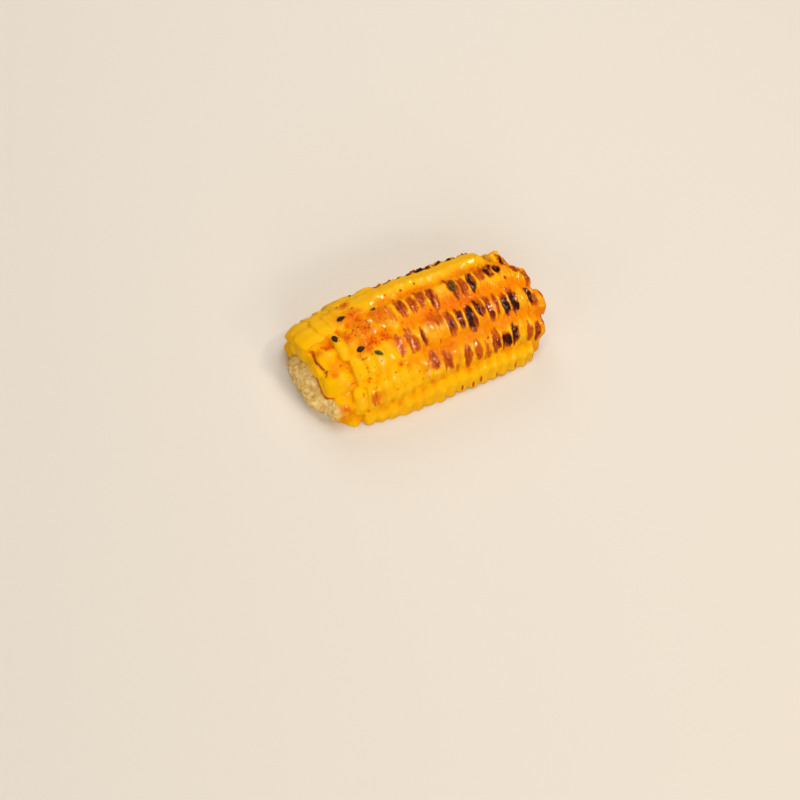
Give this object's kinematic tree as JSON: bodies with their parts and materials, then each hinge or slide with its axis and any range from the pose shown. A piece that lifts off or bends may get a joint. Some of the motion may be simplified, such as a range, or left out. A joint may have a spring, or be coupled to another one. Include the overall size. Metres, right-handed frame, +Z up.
{
  "type": "grilled corn on the cob",
  "caption": "Grilled sweetcorn, split lengthwise and lying on its flat cut: scorched golden kernels in rows round a pale cob that shows at the broken butt, with seeds and spice on top.",
  "frame": {"origin": "middle of the piece's footprint, on the plane of its lengthwise cut", "axes": "+X along the ear from the broken butt to the tip end, +Z up out of the flat cut, -Y the side with the lowest whole row of kernels"},
  "size_m": [0.086, 0.0468, 0.0235],
  "materials": {
    "kernels": "moist grilled kernel skins, golden yellow to orange, scorched brown to black on the raised tops",
    "cob": "dry crumbly pith, pale beige with a green tinge",
    "sesame": "black sesame seed, faintly glossy",
    "seaweed": "dried seaweed flake, dark olive green",
    "chilli": "ground dried chilli, red to orange"
  },
  "bodies": {
    "root": {"kernels": "kernels", "cob": "cob"}
  },
  "joints": []
}
